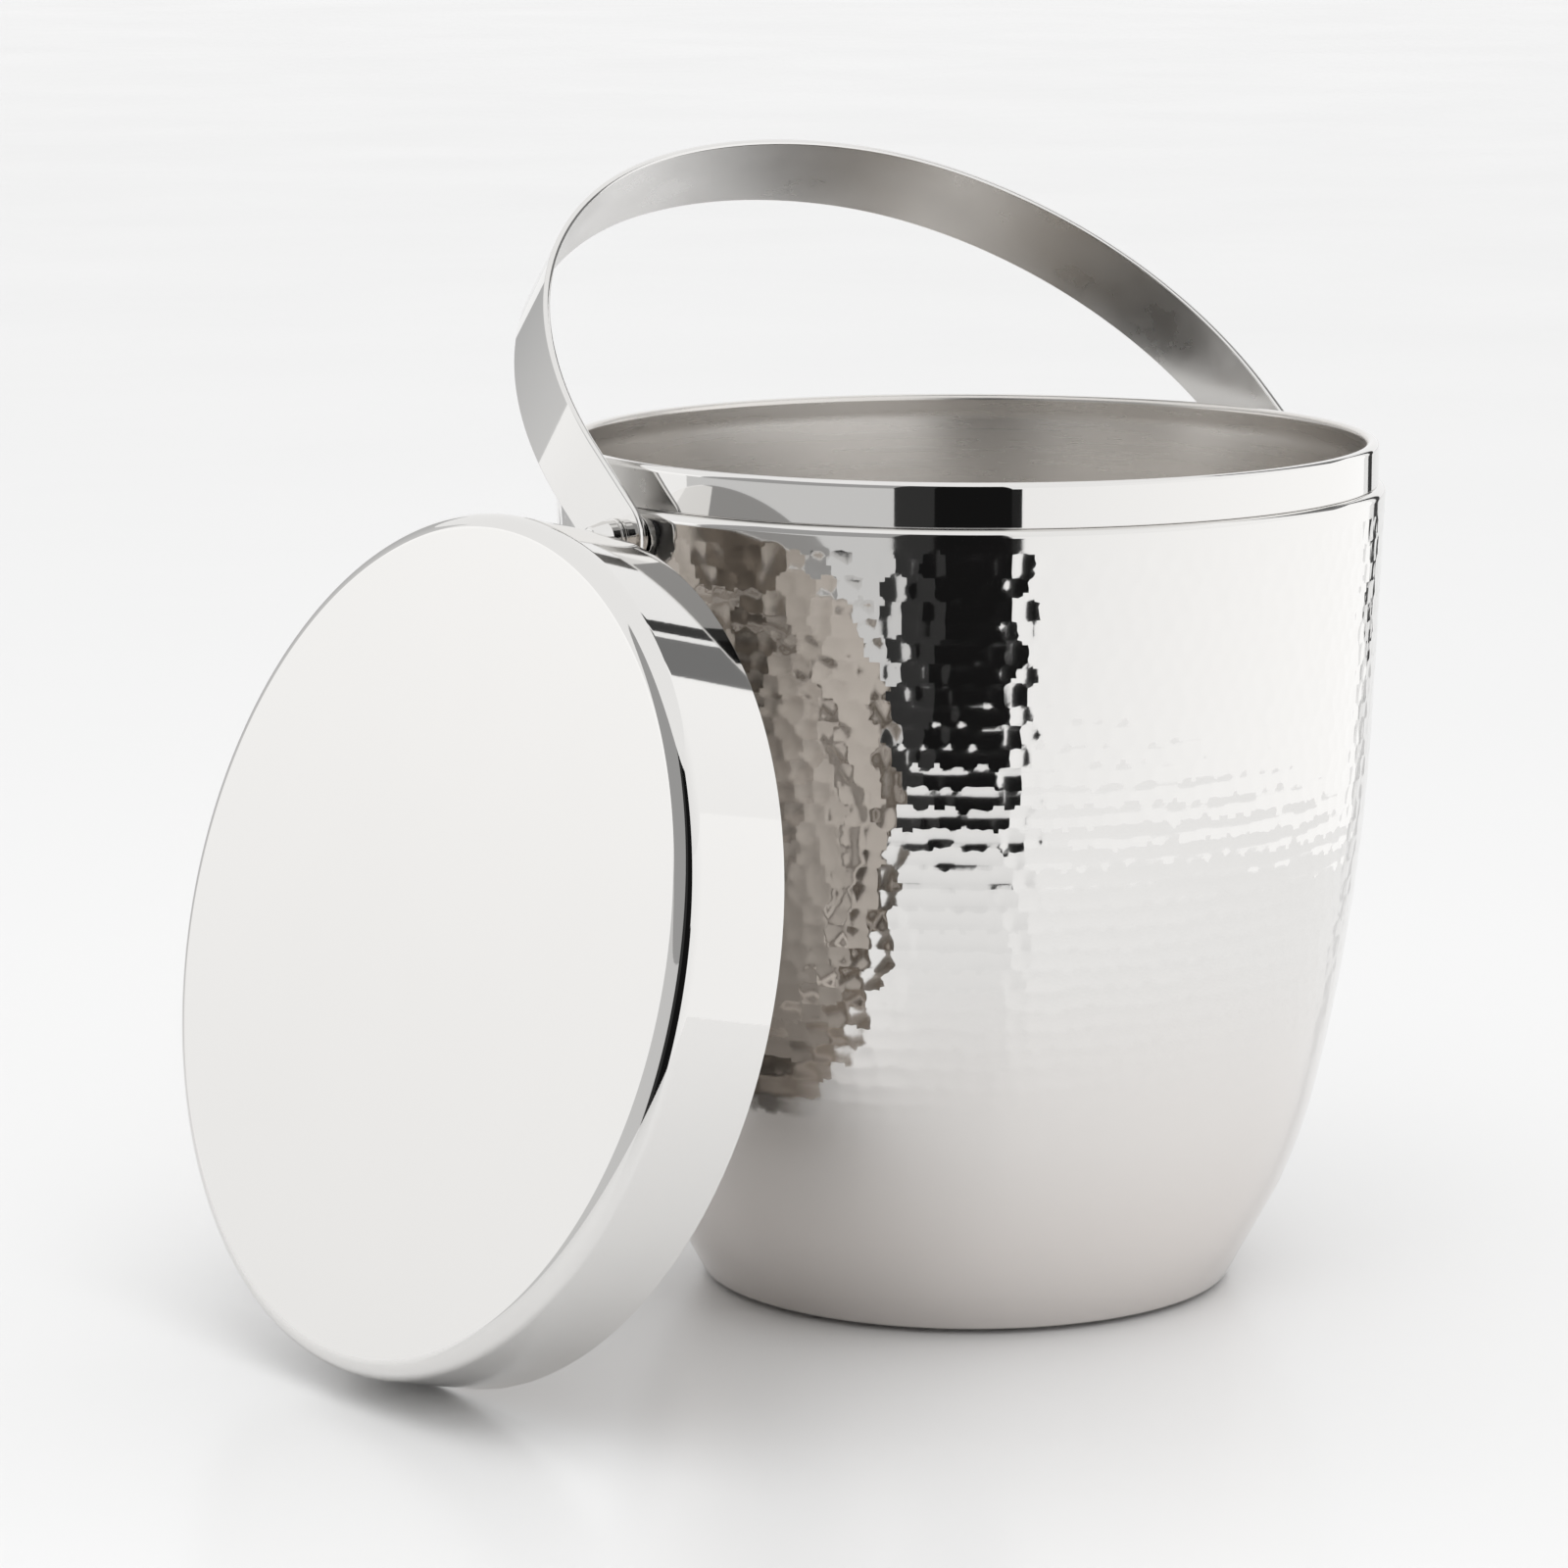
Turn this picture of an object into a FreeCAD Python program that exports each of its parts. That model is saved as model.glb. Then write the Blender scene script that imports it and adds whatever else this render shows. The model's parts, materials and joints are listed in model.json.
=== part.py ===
import FreeCAD, Part
import math
import os
import Sketcher

# Double-walled ice bucket with a swinging loop handle and a lift-off lid.
# Frame: Z up, origin on the floor under the middle of the bucket, pivots on the X axis.
# The lid stands on its edge and leans against the left pivot; the handle leans back.

doc = FreeCAD.newDocument("IceBucket")
sheet = doc.addObject("Spreadsheet::Sheet", "Dimensions")

DRIVING_DIMENSIONS = {
    # sheet steel and the gap between pieces that turn on each other
    "wall_gauge": 0.8,
    "lid_gauge": 0.6,
    "turning_gap": 0.1,
    # outer shell, from the foot to the shoulder
    "pad_thickness": 1.0,
    "pad_radius": 60.0,
    "base_flat_radius": 64.6,
    "base_opening_radius": 46.0,
    "base_plate_radius": 54.0,
    "heel_radius": 2.0,
    "heel_turn": 56.6,
    "lower_wall_radius": 150.0,
    "lower_wall_turn": 20.28,
    "upper_wall_radius": 488.0,
    "upper_wall_turn": 10.76,
    "straight_wall_length": 55.9,
    "shoulder_radius": 2.2,
    "shoulder_flange": 1.3,
    # liner: collar, rolled rim and bowl
    "collar_radius": 100.0,
    "collar_height": 10.6,
    "rim_fold_radius": 1.55,
    "neck_drop": 3.0,
    "neck_radius": 30.0,
    "bowl_lean": 4.2,
    "bowl_straight": 66.0,
    "bowl_upper_radius": 430.0,
    "bowl_upper_turn": 9.0,
    "bowl_lower_radius": 150.0,
    "bowl_lower_turn": 17.0,
    "bowl_corner_radius": 26.0,
    # pivots
    "pivot_height": 193.0,
    "bolt_radius": 3.0,
    "bolt_head_radius": 4.6,
    "bolt_head_thickness": 1.5,
    "bolt_clearance": 0.1,
    "backing_radius": 5.1,
    "backing_face": 100.5,
    "backing_thickness": 1.0,
    "boss_radius": 5.4,
    "boss_face": 101.8,
    "boss_length": 1.9,
    "washer_radius": 5.2,
    "outer_washer_thickness": 0.8,
    "outer_washer_radius": 4.5,
    "nut_radius": 4.1,
    "nut_tip_radius": 2.9,
    "nut_straight": 2.2,
    "nut_length": 6.8,
    "nut_tip_rounding": 0.8,
    # handle band: straight legs, side bends and a flatter crown
    "handle_half_span": 106.6,
    "band_width": 20.0,
    "band_thickness": 1.8,
    "leg_length": 20.2,
    "side_bend_radius": 99.0,
    "side_bend_turn": 76.5,
    "band_end_radius": 10.0,
    "band_edge_rounding": 0.4,
    "handle_lean": 50.2,
    # lid: cap and inner pan
    "lid_radius": 100.8,
    "lid_depth": 27.8,
    "lid_edge_radius": 4.6,
    "pan_rise": 16.0,
    "pan_raised_radius": 70.0,
    "pan_step_turn": 45.0,
    "pan_step_radius": 4.0,
    "pan_step_run": 1.6,
    "pan_corner_radius": 3.0,
    "pan_flange": 4.0,
    # how the lid stands against the bucket
    "lid_tilt": 14.48,
    "lid_stand_off": 167.8,
    "lid_offset": 4.1,
    "lid_turn": 0.8,
}

for row, (alias, value) in enumerate(DRIVING_DIMENSIONS.items(), start=1):
    sheet.set(f"A{row}", alias)
    sheet.set(f"B{row}", str(value))
    sheet.setAlias(f"B{row}", alias)
doc.recompute()


def size(alias):
    """The value of one driving dimension."""
    return float(sheet.get(alias))


# ---------------------------------------------------------------- outlines

class Outline:
    """A profile line of straight runs and tangent bends, walked from a start and a heading."""

    def __init__(self, start, heading):
        self.point = FreeCAD.Vector(start[0], start[1], 0)
        self.heading = math.radians(heading)
        self.steps = []

    def direction(self):
        return FreeCAD.Vector(math.cos(self.heading), math.sin(self.heading), 0)

    def left(self):
        return FreeCAD.Vector(-math.sin(self.heading), math.cos(self.heading), 0)

    def run(self, length, alias=None):
        end = self.point + self.direction() * length
        self.steps.append(("run", self.point, end, self.left(), alias))
        self.point = end
        return self

    def bend(self, radius, turn, alias=None):
        """Turn by an angle in degrees, to the left if it is positive."""
        side = math.copysign(1.0, turn)
        centre = self.point + self.left() * (radius * side)
        start_angle = self.heading - side * math.pi / 2
        end_angle = start_angle + math.radians(turn)
        self.steps.append(("bend", centre, radius, (start_angle, end_angle), alias))
        self.heading += math.radians(turn)
        self.point = centre + FreeCAD.Vector(math.cos(end_angle), math.sin(end_angle), 0) * radius
        return self


def arc_of(centre, radius, angles):
    """A circular arc between two angles, drawn counter-clockwise as sketches need it."""
    circle = Part.Circle(centre, FreeCAD.Vector(0, 0, 1), radius)
    return Part.ArcOfCircle(circle, min(angles), max(angles))


def draw_outline(sketch, outline, offset=0.0):
    """Add the outline, moved to its left by an offset, and return its pieces with their ends."""
    pieces = []
    for step in outline.steps:
        if step[0] == "run":
            _, start, end, left, alias = step
            shift = left * offset
            index = sketch.addGeometry(Part.LineSegment(start + shift, end + shift), False)
            pieces.append((index, 1, 2))
            if alias and offset == 0.0:
                bind(sketch, Sketcher.Constraint("Distance", index, (end - start).Length), alias)
        else:
            _, centre, radius, angles, alias = step
            turns_left = angles[1] > angles[0]
            own_radius = radius - offset if turns_left else radius + offset
            index = sketch.addGeometry(arc_of(centre, own_radius, angles), False)
            pieces.append((index, 1, 2) if turns_left else (index, 2, 1))
            if alias and offset == 0.0:
                bind(sketch, Sketcher.Constraint("Radius", index, radius), alias)
    for before, after in zip(pieces, pieces[1:]):
        sketch.addConstraint(Sketcher.Constraint("Coincident", before[0], before[2], after[0], after[1]))
    return pieces


def bind(sketch, constraint, expression):
    """Add a dimension to the sketch and tie it to the sheet."""
    index = sketch.addConstraint(constraint)
    name = f"{expression}_{index}"
    sketch.renameConstraint(index, name)
    sketch.setExpression(f"Constraints.{name}", f"{sheet.Name}.{expression}")


def join_ends(sketch, first, second, gauge_alias=None):
    """Close a gap between two pieces with a straight cap."""
    a = sketch.getPoint(*first)
    b = sketch.getPoint(*second)
    index = sketch.addGeometry(Part.LineSegment(a, b), False)
    sketch.addConstraint(Sketcher.Constraint("Coincident", first[0], first[1], index, 1))
    sketch.addConstraint(Sketcher.Constraint("Coincident", index, 2, second[0], second[1]))
    if gauge_alias:
        bind(sketch, Sketcher.Constraint("Distance", index, (b - a).Length), gauge_alias)


# ---------------------------------------------------------------- bodies

LEFT = 1
RIGHT = -1


def new_body(label):
    body = doc.addObject("PartDesign::Body", label.title().replace("_", ""))
    body.Label = label
    return body


def new_sketch(body, plane, name):
    origin_plane = next(f for f in body.Origin.OriginFeatures if f.Role == plane)
    sketch = body.newObject("Sketcher::SketchObject", f"{body.Name}{name}")
    sketch.AttachmentSupport = [(origin_plane, "")]
    sketch.MapMode = "FlatFace"
    return sketch


def revolve(body, sketch):
    feature = body.newObject("PartDesign::Revolution", f"{body.Name}Turned")
    feature.Profile = sketch
    feature.ReferenceAxis = (sketch, ["V_Axis"])
    feature.Angle = 360
    return feature


def cut_through(body, sketch):
    """Cut a sketch right through the body, both ways from its plane."""
    doc.recompute()
    before = body.Shape.Volume
    feature = body.newObject("PartDesign::Pocket", f"{sketch.Name}Cut")
    feature.Profile = sketch
    feature.Type = 1
    feature.Midplane = True
    doc.recompute()
    if not body.Shape.Volume < before:
        raise RuntimeError(f"{sketch.Name} cuts nothing from {body.Label}")
    return feature


def sheet_piece(label, outline, gauge_alias, sheet_side):
    """A piece pressed or spun from sheet: an outline and its own thickness, turned about Z.
    The metal lies to the LEFT or the RIGHT of the outline."""
    body = new_body(label)
    sketch = new_sketch(body, "XZ_Plane", "Profile")
    face = draw_outline(sketch, outline)
    back = draw_outline(sketch, outline, sheet_side * size(gauge_alias))
    join_ends(sketch, (face[0][0], face[0][1]), (back[0][0], back[0][1]), gauge_alias)
    join_ends(sketch, (face[-1][0], face[-1][2]), (back[-1][0], back[-1][2]), gauge_alias)
    revolve(body, sketch)
    return body


def round_edges(body, chosen, radius_alias):
    """Round the edges of the body that a test picks out."""
    doc.recompute()
    base = body.Tip
    names = [f"Edge{i}" for i, edge in enumerate(base.Shape.Edges, start=1) if chosen(edge)]
    if not names:
        raise RuntimeError(f"{body.Label} has no edge to round")
    fillet = body.newObject("PartDesign::Fillet", f"{body.Name}Rounded")
    fillet.Base = (base, names)
    fillet.setExpression("Radius", f"Dimensions.{radius_alias}")


def is_ring(edge, radius):
    """Whether an edge is a circle or an arc of this radius."""
    return isinstance(edge.Curve, Part.Circle) and math.isclose(edge.Curve.Radius, radius, abs_tol=1e-4)


def turned_piece(label, corners):
    """A small lathe-turned piece: its corners are radius and distance along its own axis."""
    body = new_body(label)
    sketch = new_sketch(body, "XZ_Plane", "Profile")
    points = [FreeCAD.Vector(radius, along, 0) for radius, along in corners]
    count = len(points)
    for i, start in enumerate(points):
        sketch.addGeometry(Part.LineSegment(start, points[(i + 1) % count]), False)
    for i in range(count):
        sketch.addConstraint(Sketcher.Constraint("Coincident", i, 2, (i + 1) % count, 1))
    revolve(body, sketch)
    return body


def bolt_hole(body, height):
    """One hole along X through both sides, for the pivot bolts."""
    sketch = new_sketch(body, "YZ_Plane", "BoltHole")
    centre = FreeCAD.Vector(0, height, 0)
    radius = size("bolt_radius") + size("bolt_clearance")
    circle = sketch.addGeometry(Part.Circle(centre, FreeCAD.Vector(0, 0, 1), radius), False)
    index = sketch.addConstraint(Sketcher.Constraint("Radius", circle, radius))
    sketch.renameConstraint(index, "bore")
    sketch.setExpression("Constraints.bore", "Dimensions.bolt_radius + Dimensions.bolt_clearance")
    cut_through(body, sketch)


# ---------------------------------------------------------------- bucket

def outer_shell():
    """Hammered wall: flat foot, heel, two long curves, a straight top and a turned-in shoulder."""
    floor = size("pad_thickness")
    wall = Outline((size("base_opening_radius"), floor), 0)
    wall.run(size("base_flat_radius") - size("base_opening_radius"))
    wall.bend(size("heel_radius"), size("heel_turn"), "heel_radius")
    wall.bend(size("lower_wall_radius"), size("lower_wall_turn"), "lower_wall_radius")
    wall.bend(size("upper_wall_radius"), size("upper_wall_turn"), "upper_wall_radius")
    wall.run(size("straight_wall_length"), "straight_wall_length")
    shoulder_turn = 180 - size("heel_turn") - size("lower_wall_turn") - size("upper_wall_turn")
    wall.bend(size("shoulder_radius"), shoulder_turn, "shoulder_radius")
    wall.run(size("shoulder_flange"), "shoulder_flange")
    body = sheet_piece("outer_shell", wall, "wall_gauge", LEFT)
    bolt_hole(body, size("pivot_height"))
    return body, wall.point.y


def inner_liner(shoulder_height):
    """Collar, rolled rim and bowl in one sheet. The outline follows the face that shows."""
    bowl = Outline((size("collar_radius"), shoulder_height), 90)
    bowl.run(size("collar_height") - size("rim_fold_radius"))
    bowl.bend(size("rim_fold_radius"), 180, "rim_fold_radius")
    bowl.run(size("neck_drop"), "neck_drop")
    bowl.bend(size("neck_radius"), -size("bowl_lean"), "neck_radius")
    bowl.run(size("bowl_straight"), "bowl_straight")
    bowl.bend(size("bowl_upper_radius"), -size("bowl_upper_turn"), "bowl_upper_radius")
    bowl.bend(size("bowl_lower_radius"), -size("bowl_lower_turn"), "bowl_lower_radius")
    rest_of_turn = 90 - size("bowl_lean") - size("bowl_upper_turn") - size("bowl_lower_turn")
    bowl.bend(size("bowl_corner_radius"), -rest_of_turn, "bowl_corner_radius")
    bowl.run(bowl.point.x)
    return sheet_piece("inner_liner", bowl, "wall_gauge", LEFT)


def disc(label, radius_alias, thickness_alias, height):
    """A flat disc on the underside, centred on the bucket's axis."""
    body = new_body(label)
    sketch = new_sketch(body, "XY_Plane", "Round")
    circle = Part.Circle(FreeCAD.Vector(0, 0, 0), FreeCAD.Vector(0, 0, 1), size(radius_alias))
    bind(sketch, Sketcher.Constraint("Radius", sketch.addGeometry(circle, False), size(radius_alias)),
         radius_alias)
    pad = body.newObject("PartDesign::Pad", f"{body.Name}Plate")
    pad.Profile = sketch
    pad.setExpression("Length", f"Dimensions.{thickness_alias}")
    body.Placement = FreeCAD.Placement(FreeCAD.Vector(0, 0, height), FreeCAD.Rotation())
    return body


# ---------------------------------------------------------------- pivots

def ring_corners(inner, outer, start, length):
    end = start + length
    return [(inner, start), (outer, start), (outer, end), (inner, end)]


def pivot_pieces():
    """Everything threaded on one pivot bolt, from the cavity outwards along the pivot axis."""
    bolt = size("bolt_radius")
    bore = bolt + size("bolt_clearance")
    gap = size("turning_gap")
    plate_face = size("backing_face")
    plate_back = plate_face - size("backing_thickness")
    head_back = plate_back - size("bolt_head_thickness")
    head = size("bolt_head_radius")
    band_inside = size("handle_half_span") - size("band_thickness") / 2
    band_outside = band_inside + size("band_thickness")
    boss_end = size("boss_face") + size("boss_length")
    nut_seat = band_outside + gap + size("outer_washer_thickness")
    nut_end = nut_seat + size("nut_length")
    nut = size("nut_radius")
    thread_end = nut_seat + size("nut_straight")
    nut_shoulder = thread_end + gap
    return {
        "backing_washer": ring_corners(bore, size("backing_radius"), plate_back, size("backing_thickness")),
        "pivot_bolt": [(0, head_back), (head, head_back), (head, plate_back), (bolt, plate_back),
                       (bolt, thread_end), (0, thread_end)],
        "pivot_boss": ring_corners(bore, size("boss_radius"), size("boss_face"), size("boss_length")),
        "friction_washer": ring_corners(bore, size("washer_radius"), boss_end, band_inside - gap - boss_end),
        "outer_washer": ring_corners(bore, size("outer_washer_radius"), band_outside + gap,
                                     size("outer_washer_thickness")),
        "cap_nut": [(bolt, nut_seat), (nut, nut_seat), (nut, nut_shoulder), (size("nut_tip_radius"), nut_end),
                    (0, nut_end), (0, nut_shoulder), (bolt, nut_shoulder)],
    }


def pivots():
    """Both pivots: the same turned pieces, pointing left (-X) and right (+X)."""
    centre = FreeCAD.Vector(0, 0, size("pivot_height"))
    up = FreeCAD.Vector(0, 1, 0)
    bodies = []
    for side, angle in (("left", -90), ("right", 90)):
        for name, corners in pivot_pieces().items():
            body = turned_piece(f"{name}_{side}", corners)
            if name == "cap_nut":
                round_edges(body, lambda edge: is_ring(edge, size("nut_tip_radius")), "nut_tip_rounding")
            body.Placement = FreeCAD.Placement(centre, FreeCAD.Rotation(up, angle))
            bodies.append(body)
    return bodies


# ---------------------------------------------------------------- handle

def handle_band():
    """A strap bent to an arch, its ends rounded about the pivots, leaning back on them."""
    half = size("handle_half_span")
    end = size("band_end_radius")
    turn = size("side_bend_turn")
    side_inset = size("side_bend_radius") * (1 - math.cos(math.radians(turn)))
    crown_radius = (half - side_inset) / math.cos(math.radians(turn))
    outside = Outline((half + size("band_thickness") / 2, -end), 90)
    outside.run(end + size("leg_length"))
    outside.bend(size("side_bend_radius") + size("band_thickness") / 2, turn)
    outside.bend(crown_radius + size("band_thickness") / 2, 2 * (90 - turn))
    outside.bend(size("side_bend_radius") + size("band_thickness") / 2, turn)
    outside.run(end + size("leg_length"))
    body = new_body("handle_band")
    arch = new_sketch(body, "XZ_Plane", "Arch")
    face = draw_outline(arch, outside)
    back = draw_outline(arch, outside, size("band_thickness"))
    join_ends(arch, (face[0][0], face[0][1]), (back[0][0], back[0][1]), "band_thickness")
    join_ends(arch, (face[-1][0], face[-1][2]), (back[-1][0], back[-1][2]), "band_thickness")
    pad = body.newObject("PartDesign::Pad", "HandleBandPad")
    pad.Profile = arch
    pad.Midplane = True
    pad.setExpression("Length", "Dimensions.band_width")
    round_band_ends(body)
    thickness = size("band_thickness")
    across = lambda edge: math.isclose(edge.Length, thickness, abs_tol=1e-4)
    round_edges(body, lambda edge: not across(edge), "band_edge_rounding")
    bolt_hole(body, 0)
    lean = FreeCAD.Rotation(FreeCAD.Vector(1, 0, 0), -size("handle_lean"))
    body.Placement = FreeCAD.Placement(FreeCAD.Vector(0, 0, size("pivot_height")), lean)
    return body


def round_band_ends(body):
    """Trim both ends of the band to a half circle about the pivot."""
    end = size("band_end_radius")
    spare = end + size("band_thickness")
    sketch = new_sketch(body, "YZ_Plane", "RoundEnd")
    arc = arc_of(FreeCAD.Vector(0, 0, 0), end, (math.pi, 2 * math.pi))
    corners = [(end, 0), (spare, 0), (spare, -spare), (-spare, -spare), (-spare, 0), (-end, 0)]
    points = [FreeCAD.Vector(across, up, 0) for across, up in corners]
    curve = sketch.addGeometry(arc, False)
    last = (curve, 2)
    for start, stop in zip(points, points[1:]):
        line = sketch.addGeometry(Part.LineSegment(start, stop), False)
        sketch.addConstraint(Sketcher.Constraint("Coincident", last[0], last[1], line, 1))
        last = (line, 2)
    sketch.addConstraint(Sketcher.Constraint("Coincident", last[0], last[1], curve, 1))
    bind(sketch, Sketcher.Constraint("Radius", curve, end), "band_end_radius")
    cut_through(body, sketch)


# ---------------------------------------------------------------- lid

def lid_cap():
    """Pressed cap: a flat face, a rounded edge and a plain skirt. Its open edge is at height 0."""
    edge = size("lid_edge_radius")
    cap = Outline((0, size("lid_depth")), 0)
    cap.run(size("lid_radius") - edge)
    cap.bend(edge, -90, "lid_edge_radius")
    cap.run(size("lid_depth") - edge)
    return sheet_piece("lid_cap", cap, "lid_gauge", RIGHT)


def lid_liner():
    """Inner pan that closes the hollow: a raised middle, a step and a flange inside the skirt."""
    step = size("pan_step_turn")
    flange_radius = size("lid_radius") - size("lid_gauge")
    pan = Outline((0, size("pan_rise")), 0)
    pan.run(size("pan_raised_radius"), "pan_raised_radius")
    pan.bend(size("pan_step_radius"), -step, "pan_step_radius")
    pan.run(size("pan_step_run"), "pan_step_run")
    pan.bend(size("pan_step_radius"), step)
    pan.run(flange_radius - size("pan_corner_radius") - pan.point.x)
    pan.bend(size("pan_corner_radius"), -90, "pan_corner_radius")
    pan.run(size("pan_flange"), "pan_flange")
    return sheet_piece("lid_liner", pan, "lid_gauge", RIGHT)


def lean_lid(body):
    """Stand the lid on the lowest point of its edge, its face turned outwards past the left pivot."""
    tilt = math.radians(size("lid_tilt"))
    upright = FreeCAD.Rotation(FreeCAD.Vector(0, 1, 0), -(90 - size("lid_tilt")))
    turn = FreeCAD.Rotation(FreeCAD.Vector(0, 0, 1), -size("lid_turn"))
    rotation = turn.multiply(upright)
    normal = rotation.multVec(FreeCAD.Vector(0, 0, 1))
    height = size("lid_radius") * math.cos(tilt) + size("lid_depth") * math.sin(tilt)
    face_centre = FreeCAD.Vector(-size("lid_stand_off"), -size("lid_offset"), height)
    body.Placement = FreeCAD.Placement(face_centre - normal * size("lid_depth"), rotation)


# ---------------------------------------------------------------- assembly

shell, shoulder_height = outer_shell()
liner = inner_liner(shoulder_height)
plate = disc("base_plate", "base_plate_radius", "wall_gauge", size("pad_thickness") + size("wall_gauge"))
pad = disc("base_pad", "pad_radius", "pad_thickness", 0)
hardware = pivots()
band = handle_band()
lid_pieces = [lid_cap(), lid_liner()]
doc.recompute()
for piece in lid_pieces:
    lean_lid(piece)
doc.recompute()

for item in doc.Objects:
    if "Invalid" in item.State or "Error" in item.State:
        raise RuntimeError(f"{item.Name} did not compute: {item.State}")

os.makedirs("parts", exist_ok=True)
for piece in [shell, liner, plate, pad, *hardware, band, *lid_pieces]:
    if piece.Shape.isNull() or not piece.Shape.isValid():
        raise RuntimeError(f"{piece.Label} has no valid shape")
    piece.Shape.exportStep(f"parts/{piece.Label}.step")
    box = piece.Shape.optimalBoundingBox()
    print(f"{piece.Label:24s} {piece.Shape.Volume / 1000:8.2f} cm3  {len(piece.Shape.Solids)} solid"
          f"  x {box.XMin:7.2f}..{box.XMax:7.2f}  y {box.YMin:7.2f}..{box.YMax:7.2f}"
          f"  z {box.ZMin:7.2f}..{box.ZMax:7.2f}")
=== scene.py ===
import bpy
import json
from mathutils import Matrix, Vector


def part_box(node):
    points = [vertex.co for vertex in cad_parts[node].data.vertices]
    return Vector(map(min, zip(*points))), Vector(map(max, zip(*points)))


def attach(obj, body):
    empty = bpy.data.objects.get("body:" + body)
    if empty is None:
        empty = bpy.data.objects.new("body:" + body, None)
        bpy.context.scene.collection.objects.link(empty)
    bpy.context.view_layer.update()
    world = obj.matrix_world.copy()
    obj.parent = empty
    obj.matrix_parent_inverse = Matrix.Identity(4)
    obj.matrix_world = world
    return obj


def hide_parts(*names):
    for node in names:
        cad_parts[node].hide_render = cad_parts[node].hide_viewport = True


bl_info = {
    "name": "Hammered Ice Bucket",
    "version": (1, 0, 0),
    "blender": (4, 5, 0),
    "location": "3D View > Sidebar > Ice Bucket",
    "description": "Makes a hammered steel ice bucket, its finishes and its studio round a fixed frame",
    "category": "Add Mesh",
}

import json
import math

import bpy
import numpy as np
from bpy.props import FloatProperty, FloatVectorProperty, IntProperty, PointerProperty
from bpy.types import Operator, Panel, PropertyGroup
from mathutils import Matrix, Vector

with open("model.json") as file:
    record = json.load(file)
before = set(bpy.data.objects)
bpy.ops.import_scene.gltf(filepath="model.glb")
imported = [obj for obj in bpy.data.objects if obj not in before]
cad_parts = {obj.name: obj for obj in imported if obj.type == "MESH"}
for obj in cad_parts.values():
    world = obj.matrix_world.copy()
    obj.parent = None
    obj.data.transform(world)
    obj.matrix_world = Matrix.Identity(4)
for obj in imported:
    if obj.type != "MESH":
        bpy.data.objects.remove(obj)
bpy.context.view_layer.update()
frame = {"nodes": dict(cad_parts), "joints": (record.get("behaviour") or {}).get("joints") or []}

MM = 0.001
TINY = 1e-9
SIDES = {"left": -1, "right": 1}
SEED = 11

# How finely the meshes follow their outlines: angles round a bend, and longest stretches in metres.
BEND_STEP = math.radians(7.5)
LONGEST = 0.02
PLAIN_STEP, PLAIN_LONGEST = math.radians(15), 0.04
BACK_STEP, BACK_LONGEST = math.radians(20), 0.06
STRAP_STEP, STRAP_LONGEST = math.radians(1.5), 0.004
EDGE_STEPS = 4
TIP_STEPS = 12
CARD_STEPS = 24
RIDGE_REACH = 0.4

CAMERA_SENSOR = 36.0
CAMERA_NEAREST = 0.01
FLOOR_REACH = 30.0
FLOOR_DROP = 0.0002
KEY_SIZE = 1.2
KEY_PLACE = Vector((-0.35, -0.5, 1.5))
KEY_AIM = Vector((0, 0, 0.05))


# ---- settings

def length_of(name, description, millimetres):
    """A length property, given in millimetres and held in metres."""
    return FloatProperty(name=name, description=description, default=millimetres * MM,
                         subtype="DISTANCE", unit="LENGTH", precision=5)


def turn_of(name, description, degrees):
    return FloatProperty(name=name, description=description, default=math.radians(degrees),
                         subtype="ANGLE", unit="ROTATION")


def colour_of(name, description, colour):
    return FloatVectorProperty(name=name, description=description, default=colour, subtype="COLOR",
                               size=3, min=0.0, max=1.0)


def share_of(name, description, value):
    return FloatProperty(name=name, description=description, default=value, min=0.0, max=4.0)


def count_of(name, description, value):
    return IntProperty(name=name, description=description, default=value, min=12)


class WallSizes(PropertyGroup):
    """The hammered wall, from the foot to the shoulder."""

    gauge: length_of("Gauge", "Thickness of the wall", 0.8)
    opening_radius: length_of("Opening", "Radius of the hole in the underside", 46.0)
    flat_radius: length_of("Foot", "Radius where the underside turns up", 64.6)
    heel_radius: length_of("Heel", "Bend between underside and wall", 2.0)
    heel_turn: turn_of("Heel turn", "How far the heel turns", 56.6)
    lower_radius: length_of("Lower curve", "Radius of the wall's lower curve", 150.0)
    lower_turn: turn_of("Lower turn", "How far the lower curve turns", 20.28)
    upper_radius: length_of("Upper curve", "Radius of the wall's upper curve", 488.0)
    upper_turn: turn_of("Upper turn", "How far the upper curve turns", 10.76)
    straight: length_of("Straight", "Straight stretch under the shoulder", 55.9)
    shoulder_radius: length_of("Shoulder", "Bend that rolls the wall in under the collar", 2.2)
    flange: length_of("Flange", "Flat that runs in to the collar", 1.3)


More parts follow.
